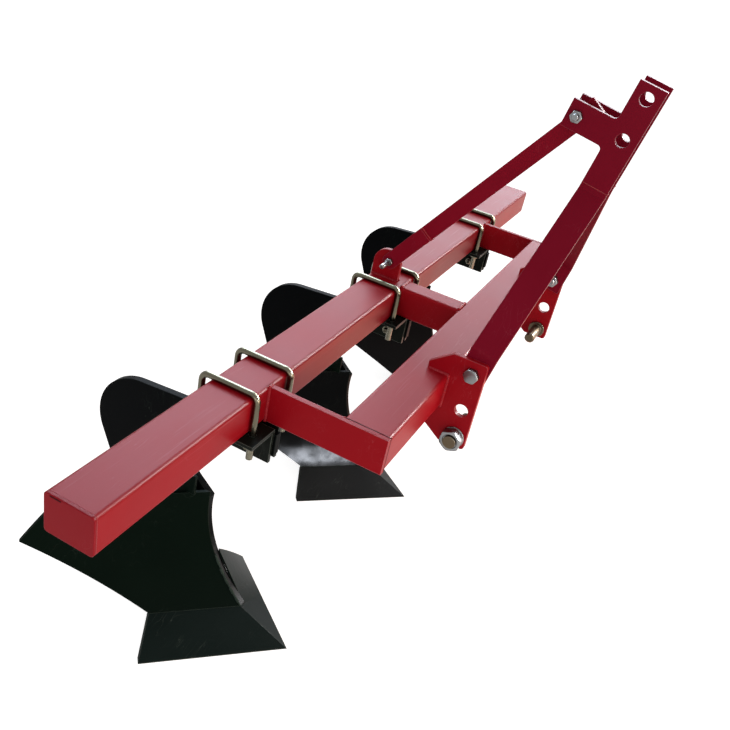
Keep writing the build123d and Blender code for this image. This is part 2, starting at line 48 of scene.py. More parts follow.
scene = bpy.context.scene
nodes = frame["nodes"]
print("frame loaded", len(nodes), "nodes")


# general steps for shader nodes
def addNode(tree, kind, values=None, **settings):
    node = tree.nodes.new(kind)
    for key, value in settings.items():
        setattr(node, key, value)
    for key, value in (values or {}).items():
        node.inputs[key].default_value = value
    return node


def feed(tree, value, target):  # an output is linked, and a number or colour is set
    if isinstance(value, bpy.types.NodeSocket):
        tree.links.new(value, target)
    else:
        target.default_value = value


def addMath(tree, operation, first, second=0.0):
    node = addNode(tree, "ShaderNodeMath", operation=operation)
    feed(tree, first, node.inputs[0])
    feed(tree, second, node.inputs[1])
    return node.outputs[0]


def addMask(tree, value, span, low=0.0, high=1.0):  # from low to high over a span of the value
    node = addNode(tree, "ShaderNodeMapRange", {"To Min": low, "To Max": high})
    node.inputs["From Min"].default_value, node.inputs["From Max"].default_value = span
    feed(tree, value, node.inputs["Value"])
    return node.outputs["Result"]


# camera, floor and studio light
studio = {
    "cameraPlace": (-1.8254, -0.5875, 1.4947),
    "cameraTurn": (60.42, -10.83, -62.93),  # degrees
    "lens": 39.93,
    "sensor": 36.0,
    "shift": (0.0059, -0.0279),
    "farthest": 900.0,
    "floorSize": 400.0,
    "floorGrey": 0.8,
    "floorRoughness": 0.9,
    "floorLift": 0.78,  # added for the camera and for reflections
    "skyLight": 0.55,
}
# lamps with "shades" light surfaces, and the others only show in gloss
lamps = {
    "skyPanel": {
        "place": (4.6, 1.9, 3.0), "target": (0, 0, 0.6), "size": (6.5, 3.6), "power": 520,
        "shades": False, "tint": (0.86, 0.9, 1),
    },
    "topPanel": {
        "place": (1.2, 1.6, 3.1), "target": (-0.8, 0, 0.6), "size": (2.4, 1.8), "power": 250,
        "shades": False, "tint": (0.7, 0.86, 1),
    },
    "lowPanel": {
        "place": (2.6, -0.9, 0.04), "target": (2.6, -0.9, 1), "size": (2.4, 1.8), "power": 8,
        "shades": False, "tint": (1, 0.48, 0.22),
    },
    "warmPanel": {
        "place": (0.85, -0.5, 0.04), "target": (0.85, -0.5, 1), "size": (1.1, 1.1), "power": 7,
        "shades": False, "tint": (1, 0.22, 0.06),
    },
    "edgeLamp": {
        "place": (3.3, -2.1, 2.3), "target": (0, 0, 0.6), "size": (1.6, 0.6), "power": 520,
        "shades": False, "tint": (1, 1, 1),
    },
    "nearEdgeLamp": {
        "place": (1.7, -2.5, 2.3), "target": (-0.9, 0, 0.6), "size": (1.3, 0.6), "power": 520,
        "shades": False, "tint": (1, 1, 1),
    },
    "ridgeLamp": {
        "place": (2.4, -0.9, 2.9), "target": (-0.8, 0, 0.6), "size": (0.9, 0.9), "power": 190,
        "shades": False, "tint": (1, 1, 1),
    },
    "bladeLamp": {
        "place": (-1.45, -2.3, 1.2), "target": (-0.1, 0.1, 0.1), "size": (0.5, 0.5), "power": 28,
        "shades": False, "tint": (0.85, 0.9, 1),
    },
    "keyLamp": {
        "place": (-2.7, -0.9, 0.95), "target": (-0.9, 0, 0.5), "size": (1.3, 0.8), "power": 12,
        "shades": True, "tint": (1, 0.9, 0.78),
    },
    "frontLamp": {
        "place": (-0.1, -2.6, 0.8), "target": (-0.1, 0, 0.55), "size": (2.6, 0.7), "power": 42,
        "shades": True, "tint": (1, 0.7, 0.48),
    },
}


def addCamera():
    bpy.ops.object.camera_add(location=studio["cameraPlace"])
    camera = bpy.context.object
    camera.name = "camera"
    camera.rotation_euler = [math.radians(a) for a in studio["cameraTurn"]]
    camera.data.lens = studio["lens"]
    camera.data.sensor_width = studio["sensor"]
    camera.data.shift_x, camera.data.shift_y = studio["shift"]
    camera.data.clip_end = studio["farthest"]
    scene.camera = camera


def addLamp(name, spec):
    bpy.ops.object.light_add(type="AREA", location=spec["place"])
    lamp = bpy.context.object
    lamp.name = name
    lamp.data.shape = "RECTANGLE"
    lamp.data.size, lamp.data.size_y = spec["size"]
    lamp.data.energy = spec["power"]
    lamp.data.color = spec["tint"]
    aim = Vector(spec["target"]) - Vector(spec["place"])
    lamp.rotation_euler = aim.to_track_quat("-Z", "Y").to_euler()
    lamp.visible_diffuse = spec["shades"]
    lamp.visible_camera = False


def seenByEye(tree):  # 1 for the camera, for reflections and through clear glass
    path = addNode(tree, "ShaderNodeLightPath").outputs
    either = addMath(tree, "MAXIMUM", path["Is Camera Ray"], path["Is Glossy Ray"])
    return addMath(tree, "MAXIMUM", either, path["Is Transmission Ray"])


def addFloor():
    bpy.ops.mesh.primitive_plane_add(size=studio["floorSize"], location=(0, 0, 0))
    floor = bpy.context.object
    floor.name = "floor"
    paint = bpy.data.materials.new("paleFloor")
    paint.use_nodes = True
    tree = paint.node_tree
    shader = tree.nodes["Principled BSDF"].inputs
    shader["Base Color"].default_value = (studio["floorGrey"],) * 3 + (1,)
    shader["Roughness"].default_value = studio["floorRoughness"]
    shader["Specular IOR Level"].default_value = 0.0
    shader["Emission Color"].default_value = (1, 1, 1, 1)
    lift = addMath(tree, "MULTIPLY", seenByEye(tree), studio["floorLift"])
    feed(tree, lift, shader["Emission Strength"])
    floor.data.materials.append(paint)


def addWorld():
    world = bpy.data.worlds.new("studioSky")
    scene.world = world
    world.use_nodes = True
    tree = world.node_tree
    background = tree.nodes["Background"].inputs
    background["Color"].default_value = (1, 1, 1, 1)
    strength = addMask(tree, seenByEye(tree), (0.0, 1.0), low=studio["skyLight"])
    feed(tree, strength, background["Strength"])


scene.view_settings.view_transform = "Standard"
addCamera()
addWorld()
addFloor()
for name, spec in lamps.items():
    addLamp(name, spec)
print("studio done")

# shared effects for the finishes
dustLook = {
    "size": 900.0, "detail": 3.0, "roughness": 0.7, "span": (0.56, 0.72),
    "patchSize": 5.0, "patchDetail": 4.0, "patchSpan": (0.35, 0.7),
}
scratchLook = {
    "size": 16.0, "detail": 2.0, "bend": 0.4, "thinness": 0.004,
    "turns": ((0.3, 0.9, 0.4), (1.2, 0.2, 1.9)), "stretch": (0.12, 2.6, 1.0),
    "patchSize": 9.0, "patchDetail": 3.0, "patchSpan": (0.5, 0.68),
}
streakLook = {
    "size": 1.0, "stretch": (3.0, 130.0, 130.0), "detail": 3.0, "roughness": 0.6,
    "span": (0.6, 0.78),
    "patchSize": 4.0, "patchDetail": 2.0, "patchSpan": (0.5, 0.66),
    "facing": (0.5, 0.1),  # faces turned to the sides get no streaks
}
edgeLook = {"radius": 0.0024, "samples": 6, "span": (0.99, 0.76)}


def newGroup(name, inputs, outputs):
    group = bpy.data.node_groups.new(name, "ShaderNodeTree")
    for label, kind, value in inputs:
        socket = group.interface.new_socket(label, in_out="INPUT", socket_type=kind)
        socket.default_value = value
    for label, kind in outputs:
        group.interface.new_socket(label, in_out="OUTPUT", socket_type=kind)
    source = group.nodes.new("NodeGroupInput")
    sink = group.nodes.new("NodeGroupOutput")
    return group, source, sink


def addNoise(tree, place, size, detail, roughness=0.5, bend=0.0):
    values = {"Detail": detail, "Roughness": roughness, "Distortion": bend}
    node = addNode(tree, "ShaderNodeTexNoise", values)
    feed(tree, place, node.inputs["Vector"])
    feed(tree, size, node.inputs["Scale"])
    return node.outputs["Fac"]


def addStretch(tree, place, scale, turn=(0, 0, 0)):
    node = addNode(tree, "ShaderNodeMapping", {"Rotation": turn, "Scale": scale})
    feed(tree, place, node.inputs["Vector"])
    return node.outputs["Vector"]


def addPatches(tree, place, look):  # soft areas that an effect keeps to
    patches = addNoise(tree, place, look["patchSize"], look["patchDetail"])
    return addMask(tree, patches, look["patchSpan"])


def addMix(tree, factor, first, second):
    node = addNode(tree, "ShaderNodeMix", data_type="RGBA")
    feed(tree, factor, node.inputs["Factor"])
    feed(tree, first, node.inputs["A"])
    feed(tree, second, node.inputs["B"])
    return node.outputs["Result"]


def makeDustGroup():  # small pale specks in soft patches
    group, source, sink = newGroup(
        "dust",
        [("Size", "NodeSocketFloat", dustLook["size"]), ("Amount", "NodeSocketFloat", 0.5)],
        [("Mask", "NodeSocketFloat")],
    )
    place = addNode(group, "ShaderNodeTexCoord").outputs["Object"]
    size, amount = source.outputs["Size"], source.outputs["Amount"]
    noise = addNoise(group, place, size, dustLook["detail"], dustLook["roughness"])
    specks = addMask(group, noise, dustLook["span"])
    local = addMath(group, "MULTIPLY", specks, addPatches(group, place, dustLook))
    feed(group, addMath(group, "MULTIPLY", local, amount), sink.inputs["Mask"])
    return group


def makeScratchGroup():  # thin lines that wander in two directions
    group, source, sink = newGroup(
        "scratches",
        [("Size", "NodeSocketFloat", scratchLook["size"]), ("Amount", "NodeSocketFloat", 0.5)],
        [("Mask", "NodeSocketFloat")],
    )
    place = addNode(group, "ShaderNodeTexCoord").outputs["Object"]
    size, amount = source.outputs["Size"], source.outputs["Amount"]
    masks = []
    for turn in scratchLook["turns"]:
        along = addStretch(group, place, scratchLook["stretch"], turn)
        noise = addNoise(group, along, size, scratchLook["detail"], bend=scratchLook["bend"])
        middle = addMath(group, "ABSOLUTE", addMath(group, "SUBTRACT", noise, 0.5))
        masks.append(addMask(group, middle, (scratchLook["thinness"], 0.0)))
    lines = addMath(group, "MAXIMUM", masks[0], masks[1])
    local = addMath(group, "MULTIPLY", lines, addPatches(group, place, scratchLook))
    feed(group, addMath(group, "MULTIPLY", local, amount), sink.inputs["Mask"])
    return group


def makeStreakGroup():  # pale streaks that run across the machine, along the tubes
    group, source, sink = newGroup(
        "streaks", [("Amount", "NodeSocketFloat", 0.5)], [("Mask", "NodeSocketFloat")]
    )
    spot = addNode(group, "ShaderNodeTexCoord")
    place = spot.outputs["Object"]
    along = addStretch(group, place, streakLook["stretch"])
    size, detail = streakLook["size"], streakLook["detail"]
    noise = addNoise(group, along, size, detail, streakLook["roughness"])
    streaks = addMask(group, noise, streakLook["span"])
    facing = addNode(group, "ShaderNodeSeparateXYZ")
    feed(group, spot.outputs["Normal"], facing.inputs[0])
    sideways = addMath(group, "ABSOLUTE", facing.outputs["X"])
    level = addMask(group, sideways, streakLook["facing"])
    local = addMath(group, "MULTIPLY", streaks, addPatches(group, place, streakLook))
    sided = addMath(group, "MULTIPLY", local, level)
    feed(group, addMath(group, "MULTIPLY", sided, source.outputs["Amount"]), sink.inputs["Mask"])
    return group


# finishes mix a pale tone in along this mask: partly edge wear, partly a painted edge highlight
def makeEdgeGroup():  # softened edges, and a mask where they are
    group, source, sink = newGroup(
        "edgeWearAndHighlight",
        [("Radius", "NodeSocketFloat", edgeLook["radius"])],
        [("Mask", "NodeSocketFloat"), ("Normal", "NodeSocketVector")],
    )
    soft = addNode(group, "ShaderNodeBevel", samples=edgeLook["samples"])
    flat = addNode(group, "ShaderNodeNewGeometry")
    match = addNode(group, "ShaderNodeVectorMath", operation="DOT_PRODUCT")
    feed(group, source.outputs["Radius"], soft.inputs["Radius"])
    feed(group, soft.outputs["Normal"], match.inputs[0])
    feed(group, flat.outputs["Normal"], match.inputs[1])
    feed(group, addMask(group, match.outputs["Value"], edgeLook["span"]), sink.inputs["Mask"])
    feed(group, soft.outputs["Normal"], sink.inputs["Normal"])
    return group


dustGroup = makeDustGroup()
scratchGroup = makeScratchGroup()
streakGroup = makeStreakGroup()
edgeGroup = makeEdgeGroup()
print("shared effects done")

# values that all finishes share: sizes of noise, depth of ripples, gloss of a polished coat
surface = {
    "cloudSize": 7.0, "cloudDetail": 5.0,
    "rippleSize": 60.0, "rippleDetail": 3.0, "rippleDepth": 0.002,
    "hazeSize": 22.0, "hazeDetail": 3.0, "hazeSpan": (0.36, 0.62), "hazeLeast": 0.25,
    "coatRoughness": 0.12,
}
# finishes: two base tones, a tone for worn places and painted edge highlights, a dust tone, gloss,
# and how much of each wear and highlight
finishes = {
    "framePaint": {
        "tones": ((0.27, 0.003, 0.0085), (0.33, 0.0055, 0.012)),
        "wearAndHighlightTone": (0.75, 0.27, 0.32),
        "dustTone": (0.5, 0.25, 0.27),
        "roughness": (0.3, 0.44),
        "metal": 0.0,
        "specular": 0.056,
        "coat": 0.0,
        "edge": 0.4,
        "scratch": 0.15,
        "streak": 0.3,
        "dust": 0.03,
        "ripple": 0.05,
    },
    # a darker, cooler copy of the frame paint on the mast legs and heads: painted shade
    "shadedMastPaint": {
        "tones": ((0.16, 0.003, 0.0135), (0.2, 0.0045, 0.019)),
        "wearAndHighlightTone": (0.72, 0.27, 0.34),
        "dustTone": (0.4, 0.2, 0.24),
        "roughness": (0.3, 0.46),
        "metal": 0.0,
        "specular": 0.032,
        "coat": 0.0,
        "edge": 0.3,
        "scratch": 0.15,
        "streak": 0.0,
        "dust": 0.04,
        "ripple": 0.05,
    },
    "bodyPaint": {
        "tones": ((0.0014, 0.0042, 0.0028), (0.003, 0.0076, 0.005)),
        "wearAndHighlightTone": (0.06, 0.08, 0.07),
        "dustTone": (0.05, 0.06, 0.055),
        "roughness": (0.36, 0.5),
        "metal": 0.0,
        "specular": 0.012,
        "coat": 0.0,
        "edge": 0.4,
        "scratch": 0.4,
        "streak": 0.0,
        "dust": 0.08,
        "ripple": 0.12,
    },
    # the clamp angles' strong pale edges are partly edge wear and partly a painted highlight
    "clampPaint": {
        "tones": ((0.003, 0.0045, 0.0035), (0.006, 0.008, 0.006)),
        "wearAndHighlightTone": (0.17, 0.2, 0.18),
        "dustTone": (0.06, 0.07, 0.065),
        "roughness": (0.32, 0.45),
        "metal": 0.0,
        "specular": 0.05,
        "coat": 0.0,
        "edge": 0.9,
        "scratch": 0.6,
        "streak": 0.0,
        "dust": 0.2,
        "ripple": 0.12,
    },
    "sharePaint": {
        "tones": ((0.002, 0.006, 0.0052), (0.004, 0.0098, 0.0086)),
        "wearAndHighlightTone": (0.13, 0.16, 0.14),
        "dustTone": (0.06, 0.07, 0.065),
        "roughness": (0.34, 0.46),
        "metal": 0.0,
        "specular": 0.04,
        "coat": 0.0,
        "edge": 0.6,
        "scratch": 0.45,
        "streak": 0.0,
        "dust": 0.3,
        "ripple": 0.12,
    },
    # a darker, cooler copy of the body paint for the middle moldboard, with a polished coat low
    # down: its tones are painted shade
    "shadedPolishedPaint": {
        "tones": ((0.0015, 0.002, 0.0024), (0.003, 0.0036, 0.0042)),
        "wearAndHighlightTone": (0.06, 0.08, 0.07),
        "dustTone": (0.05, 0.06, 0.055),
        "roughness": (0.36, 0.5),
        "metal": 0.0,
        "specular": 0.015,
        "coat": 0.5,
        "polish": (0.13, 0.06),  # heights between which it sets in
        "edge": 0.35,
        "scratch": 0.4,
        "streak": 0.0,
        "dust": 0.1,
        "ripple": 0.12,
    },
    "zincSteel": {
        "tones": ((0.13, 0.135, 0.14), (0.24, 0.25, 0.26)),
        "wearAndHighlightTone": (0.62, 0.62, 0.6),
        "dustTone": (0.1, 0.1, 0.09),
        "roughness": (0.22, 0.4),
        "metal": 1.0,
        "specular": 0.5,
        "coat": 0.0,
        "edge": 0.5,
        "scratch": 0.3,
        "streak": 0.0,
        "dust": 0.5,
        "ripple": 0.06,
    },
    "oiledSteel": {
        "tones": ((0.05, 0.037, 0.023), (0.115, 0.088, 0.058)),
        "wearAndHighlightTone": (0.5, 0.46, 0.38),
        "dustTone": (0.05, 0.04, 0.025),
        "roughness": (0.28, 0.45),
        "metal": 1.0,
        "specular": 0.5,
        "coat": 0.0,
        "edge": 0.4,
        "scratch": 0.4,
        "streak": 0.0,
        "dust": 0.5,
        "ripple": 0.08,
    },
    "platedSteel": {
        "tones": ((0.074, 0.067, 0.047), (0.14, 0.129, 0.095)),
        "wearAndHighlightTone": (0.6, 0.58, 0.5),
        "dustTone": (0.12, 0.11, 0.08),
        "roughness": (0.16, 0.34),
        "metal": 1.0,
        "specular": 0.5,
        "coat": 0.0,
        "edge": 0.4,
        "scratch": 0.3,
        "streak": 0.0,
        "dust": 0.5,
        "ripple": 0.06,
    },
}
# the end plates get a stronger pale line along their edges: partly edge wear, partly a painted
# highlight
finishes["plateEdgeWearAndHighlightPaint"] = dict(finishes["framePaint"], edge=0.85)
# a copy of the frame paint on the stay, darker than the frame: painted shade
finishes["shadedStayPaint"] = dict(
    finishes["shadedMastPaint"], tones=((0.2, 0.004, 0.0145), (0.25, 0.0055, 0.02))
)
# a darker copy of the frame paint on the beam caps, with weaker pale edges: painted shade
finishes["shadedCapPaint"] = dict(
    finishes["framePaint"], edge=0.15, specular=0.05,
    tones=((0.225, 0.0025, 0.0085), (0.27, 0.0045, 0.011)),
)
# near-black red for the strips that paint the shadow in joints and a gap: painted shade
finishes["seamShadowPaint"] = dict(
    finishes["framePaint"], edge=0.0, specular=0.02, streak=0.0,
    tones=((0.035, 0.0015, 0.003), (0.06, 0.002, 0.004)),
)
# the shanks keep those darker, cooler tones (painted shade) and get more polish
finishes["shadedShinPaint"] = dict(finishes["shadedPolishedPaint"], coat=0.9, polish=(0.2, 0.15))
# darker, cooler copies of the body and share paint on the farther bodies: painted shade
finishes["shadedBodyPaint"] = dict(
    finishes["bodyPaint"], tones=((0.0018, 0.0019, 0.0024), (0.0036, 0.0037, 0.0046))
)
finishes["shadedSharePaint"] = dict(
    finishes["sharePaint"], tones=((0.0036, 0.0042, 0.0044), (0.0066, 0.0074, 0.0078))
)
finishes["spatterPaint"] = dict(
    finishes["bodyPaint"], edge=0.0, scratch=0.0,
    tones=((0.004, 0.008, 0.006), (0.06, 0.088, 0.076)),
)


def makeFinish(name):
    look = finishes[name]
    paint = bpy.data.materials.new(name)
    paint.use_nodes = True
    tree = paint.node_tree
    shader = tree.nodes["Principled BSDF"].inputs
    shader["Metallic"].default_value = look["metal"]
    shader["Specular IOR Level"].default_value = look["specular"]
    shader["Coat Roughness"].default_value = surface["coatRoughness"]
    place = addNode(tree, "ShaderNodeTexCoord").outputs["Object"]
    if look["coat"]:  # only the lower part of a blade is polished
        height = addNode(tree, "ShaderNodeSeparateXYZ")
        feed(tree, place, height.inputs[0])
        polish = addMask(tree, height.outputs["Z"], look["polish"], high=look["coat"])
        haze = addNoise(tree, place, surface["hazeSize"], surface["hazeDetail"])
        mottle = addMask(tree, haze, surface["hazeSpan"], low=surface["hazeLeast"])
        feed(tree, addMath(tree, "MULTIPLY", polish, mottle), shader["Coat Weight"])

    edges = addNode(
        tree, "ShaderNodeGroup", {"Radius": edgeLook["radius"]}, node_tree=edgeGroup
    )
    scratches = addNode(
        tree, "ShaderNodeGroup", {"Size": scratchLook["size"], "Amount": look["scratch"]},
        node_tree=scratchGroup,
    )
    dust = addNode(
        tree, "ShaderNodeGroup", {"Size": dustLook["size"], "Amount": look["dust"]},
        node_tree=dustGroup,
    )
    streaks = addNode(
        tree, "ShaderNodeGroup", {"Amount": look["streak"]}, node_tree=streakGroup
    )
    # the pale tone along edges is partly edge wear and partly a painted highlight on the edges
    edgeWearAndHighlight = addMath(tree, "MULTIPLY", edges.outputs["Mask"], look["edge"])
    marks = addMath(tree, "MAXIMUM", scratches.outputs["Mask"], streaks.outputs["Mask"])
    wearAndEdgeHighlight = addMath(tree, "MAXIMUM", edgeWearAndHighlight, marks)

    cloud = addNoise(tree, place, surface["cloudSize"], surface["cloudDetail"])
    tones = [tone + (1,) for tone in (*look["tones"], look["wearAndHighlightTone"], look["dustTone"])]
    colour = addMix(tree, cloud, tones[0], tones[1])
    colour = addMix(tree, wearAndEdgeHighlight, colour, tones[2])
    colour = addMix(tree, dust.outputs["Mask"], colour, tones[3])
    feed(tree, colour, shader["Base Color"])
    feed(tree, addMask(tree, cloud, (0.0, 1.0), *look["roughness"]), shader["Roughness"])

    ripple = addNoise(tree, place, surface["rippleSize"], surface["rippleDetail"])
    bump = addNode(tree, "ShaderNodeBump", {"Strength": look["ripple"]})
    bump.inputs["Distance"].default_value = surface["rippleDepth"]
    feed(tree, ripple, bump.inputs["Height"])
    feed(tree, edges.outputs["Normal"], bump.inputs["Normal"])
    feed(tree, bump.outputs["Normal"], shader["Normal"])
    return paint


paints = {name: makeFinish(name) for name in finishes}
slotPaints = {
    "frame_paint": "framePaint",
    "body_paint": "bodyPaint",
    "share_paint": "sharePaint",
    "plated_steel": "platedSteel",
}
nodePaints = {  # nodes whose finish differs from their slot's
    "lower_pin_right": "oiledSteel", "lower_pin_left": "oiledSteel", "pin_washers": "zincSteel",
    "mast_leg_right": "shadedMastPaint", "mast_leg_left": "shadedMastPaint",
    "stay_bar": "shadedStayPaint", "stay_cheeks": "shadedStayPaint",
    "mast_head_right": "shadedMastPaint", "mast_head_left": "shadedMastPaint",
    "end_plate_right": "plateEdgeWearAndHighlightPaint", "end_plate_left": "plateEdgeWearAndHighlightPaint",
    "beam_cap_right": "shadedCapPaint", "beam_cap_left": "shadedCapPaint",
    "shank_right": "shadedShinPaint", "shank_middle": "shadedShinPaint", "shank_left": "shadedShinPaint",
    "moldboard_middle": "shadedPolishedPaint", "moldboard_left": "shadedBodyPaint",
    "share_middle": "shadedSharePaint", "share_left": "shadedSharePaint",
    "clamp_angles_right": "clampPaint",
    "clamp_angles_middle": "clampPaint", "clamp_angles_left": "clampPaint",
}
for part in frame["record"]["subparts"]:
    mesh = nodes[part["node"]].data
    paint = nodePaints.get(part["node"], slotPaints[part["material_slot"]])
    mesh.materials.clear()
    mesh.materials.append(paints[paint])
print("finishes done")


# general steps of modelling
modelling = {
    "mergeDistance": 0.00002, "cutDistance": 0.000001,  # metres
    "smoothAngle": 35,  # degrees
    "rodSides": 32,
}


def focus(piece):  # this piece alone is selected and active
    bpy.ops.object.select_all(action="DESELECT")
    bpy.context.view_layer.objects.active = piece
    piece.select_set(True)


# last step of every piece: its place goes into its mesh, its faces point outwards,
# and it gets its finish, picked by its slot, and its body
def settle(piece, name, slot, paint=None):
    focus(piece)
    bpy.ops.object.transform_apply(location=True, rotation=True, scale=True)
    bpy.ops.object.mode_set(mode="EDIT")
    bpy.ops.mesh.select_all(action="SELECT")
    bpy.ops.mesh.remove_doubles(threshold=modelling["mergeDistance"])
    bpy.ops.mesh.normals_make_consistent(inside=False)
    bpy.ops.object.mode_set(mode="OBJECT")
    bpy.ops.object.shade_smooth_by_angle(angle=math.radians(modelling["smoothAngle"]))
    piece.name = name
    piece.data.name = name
    piece.data.materials.clear()
    piece.data.materials.append(paints[paint or slotPaints[slot]])
    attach(piece, "root")
    piece.select_set(False)
    return piece


def joinPieces(pieces):
    bpy.ops.object.select_all(action="DESELECT")
    for piece in pieces:
        piece.select_set(True)
    bpy.context.view_layer.objects.active = pieces[0]
    if len(pieces) > 1:
        bpy.ops.object.join()
    return pieces[0]


def copyAt(piece, place, turn=(0, 0, 0)):
    twin = piece.copy()
    twin.data = piece.data.copy()
    scene.collection.objects.link(twin)
    twin.location = place
    twin.rotation_euler = turn
    return twin


def applyModifier(piece, kind, **settings):
    focus(piece)
    bpy.ops.object.modifier_add(type=kind)
    modifier = piece.modifiers[-1]
    for key, value in settings.items():
        setattr(modifier, key, value)
    bpy.ops.object.modifier_apply(modifier=modifier.name)


def clearPicks(piece, kind):  # sets edge or face mode, with nothing selected
    focus(piece)
    bpy.ops.object.mode_set(mode="EDIT")
    bpy.ops.mesh.select_mode(type=kind)
    bpy.ops.mesh.select_all(action="DESELECT")
    bpy.ops.object.mode_set(mode="OBJECT")


def pickEdges(piece, wanted):  # leaves edit mode on, with the edges that fit selected
    clearPicks(piece, "EDGE")
    for edge in piece.data.edges:
        a, b = (piece.data.vertices[v].co for v in edge.vertices)
        edge.select = wanted(a, b)
    bpy.ops.object.mode_set(mode="EDIT")


def pickFaces(piece, wanted):  # the same for faces, by centre and normal
    clearPicks(piece, "FACE")
    for face in piece.data.polygons:
        face.select = wanted(face.center, face.normal)
    bpy.ops.object.mode_set(mode="EDIT")


# hexagon nuts and heads with chamfered corners, modelled upright on the origin
hexShape = {"sides": 48, "chamfer": 0.07, "chamferSteps": 2}  # chamfer as a share of the flats


def makeHex(flats, thick, bothEnds=True, recess=None, chamfer=hexShape["chamfer"]):
    half = thick / 2
    bpy.ops.mesh.primitive_cylinder_add(
        vertices=hexShape["sides"], radius=flats / math.sqrt(3), depth=thick,
        location=(0, 0, half),
    )
    hexagon = bpy.context.object
    bpy.ops.object.transform_apply()
    pickEdges(hexagon, lambda a, b: abs(a.z - b.z) < half and (a.z > half or bothEnds))
    bpy.ops.mesh.bevel(
        offset=flats * chamfer, segments=hexShape["chamferSteps"], affect="EDGES"
    )
    for side in range(6):  # each flat is cut off the round blank
        turn = math.radians(30 + 60 * side)
        outward = Vector((math.cos(turn), math.sin(turn), 0))
        bpy.ops.mesh.select_all(action="SELECT")
        bpy.ops.mesh.bisect(
            plane_co=outward * flats / 2, plane_no=outward,
            use_fill=True, clear_outer=True, threshold=modelling["cutDistance"],
        )
    bpy.ops.object.mode_set(mode="OBJECT")
    if recess:  # a round hollow in the top face
        rim, depth = recess
        pickFaces(hexagon, lambda centre, normal: normal.z > 0.9 and centre.z > thick * 0.99)
        bpy.ops.mesh.inset(thickness=rim)
        bpy.ops.mesh.extrude_region_move(TRANSFORM_OT_translate={"value": (0, 0, -depth)})
        bpy.ops.object.mode_set(mode="OBJECT")
    return hexagon


# threaded end: rings of roots and crests and a chamfered tip, each a share of the ring before
threadShape = {"sides": 24, "root": 0.97, "crest": 1.07, "tip": 0.84}


def makeThread(radius, length, pitch):
    bpy.ops.mesh.primitive_circle_add(
        vertices=threadShape["sides"], radius=radius * threadShape["root"], fill_type="NGON"
    )
    thread = bpy.context.object
    bpy.ops.object.mode_set(mode="EDIT")
    bpy.ops.mesh.select_all(action="SELECT")
    turns = int((length - pitch) / pitch)
    crest, tip = threadShape["crest"], threadShape["tip"]

    def addRing(rise, grow):
        bpy.ops.mesh.extrude_region_move(TRANSFORM_OT_translate={"value": (0, 0, rise)})
        bpy.ops.transform.resize(value=(grow, grow, 1))

    for turn in range(turns):
        addRing(pitch / 2, crest)
        addRing(pitch / 2, 1 / crest)
    addRing(length - turns * pitch, tip)
    bpy.ops.object.mode_set(mode="OBJECT")
    return thread


# bolt modelled upright: its head stands on the origin and its rod hangs down
def makeBolt(spec, length):
    head = makeHex(spec["flats"], spec["head"], bothEnds=False)
    plain = length - spec["thread"]
    bpy.ops.mesh.primitive_cylinder_add(
        vertices=modelling["rodSides"], radius=spec["rod"], depth=plain,
        location=(0, 0, -plain / 2),
    )
    rod = bpy.context.object
    thread = makeThread(spec["rod"], spec["thread"], spec["pitch"])
    thread.location = (0, 0, -plain)
    thread.rotation_euler = (math.pi, 0, 0)
    bolt = joinPieces([head, rod, thread])
    bpy.ops.object.transform_apply(location=True, rotation=True, scale=True)
    return bolt


# turns that lay an upright piece with its top to the machine's left, or to its right
toLeft = (math.pi / 2, 0, math.pi / 2)
toRight = (math.pi / 2, 0, -math.pi / 2)
sides = ("right", "middle", "left")
print("modelling steps ready")

# U-bolts' nuts and threaded ends
ubolt = {"flats": 0.022, "nut": 0.0112, "rod": 0.007, "thread": 0.05, "pitch": 0.002}


def dressUbolts():
    nutModel = makeHex(ubolt["flats"], ubolt["nut"])
    threadModel = makeThread(ubolt["rod"], ubolt["thread"], ubolt["pitch"])
    corner, flat = ubolt["flats"] / math.sqrt(3), ubolt["flats"] / 2
    for side in sides:
        low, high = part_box("ubolt_nuts_" + side)
        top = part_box("ubolts_" + side)[0].z + ubolt["thread"]
        nuts, threads = [], []
        for x in (low.x + corner, high.x - corner):
            for y in (low.y + flat, high.y - flat):
                nuts.append(copyAt(nutModel, (x, y, low.z)))
                threads.append(copyAt(threadModel, (x, y, top), (math.pi, 0, 0)))
        nut = settle(joinPieces(nuts), "uboltNuts" + side.capitalize(), "plated_steel")
        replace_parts(nut, "ubolt_nuts_" + side)
        settle(joinPieces(threads), "uboltThreads" + side.capitalize(), "plated_steel")
    bpy.data.objects.remove(nutModel)
    bpy.data.objects.remove(threadModel)


dressUbolts()
print("U-bolt nuts and threads done")

# hexagon bolts and nuts that lie across the machine
bolts = {
    "leg": {
        "flats": 0.03, "head": 0.0126, "nut": 0.016,
        "rod": 0.01, "thread": 0.03, "pitch": 0.0025, "end": 0.007,  # end stands out of the nut
    },
    "arm": {
        "flats": 0.024, "head": 0.01008, "nut": 0.0128,
        "rod": 0.008, "thread": 0.03, "pitch": 0.002,
    },
    "clamp": {
        "flats": 0.021, "head": 0.00882, "nut": 0.0112,
        "rod": 0.007, "thread": 0.026, "pitch": 0.002,
    },
    "stay": {
        "flats": 0.018, "head": 0.00756, "nut": 0.0096,
        "rod": 0.006, "thread": 0.012, "pitch": 0.0012,
    },
}


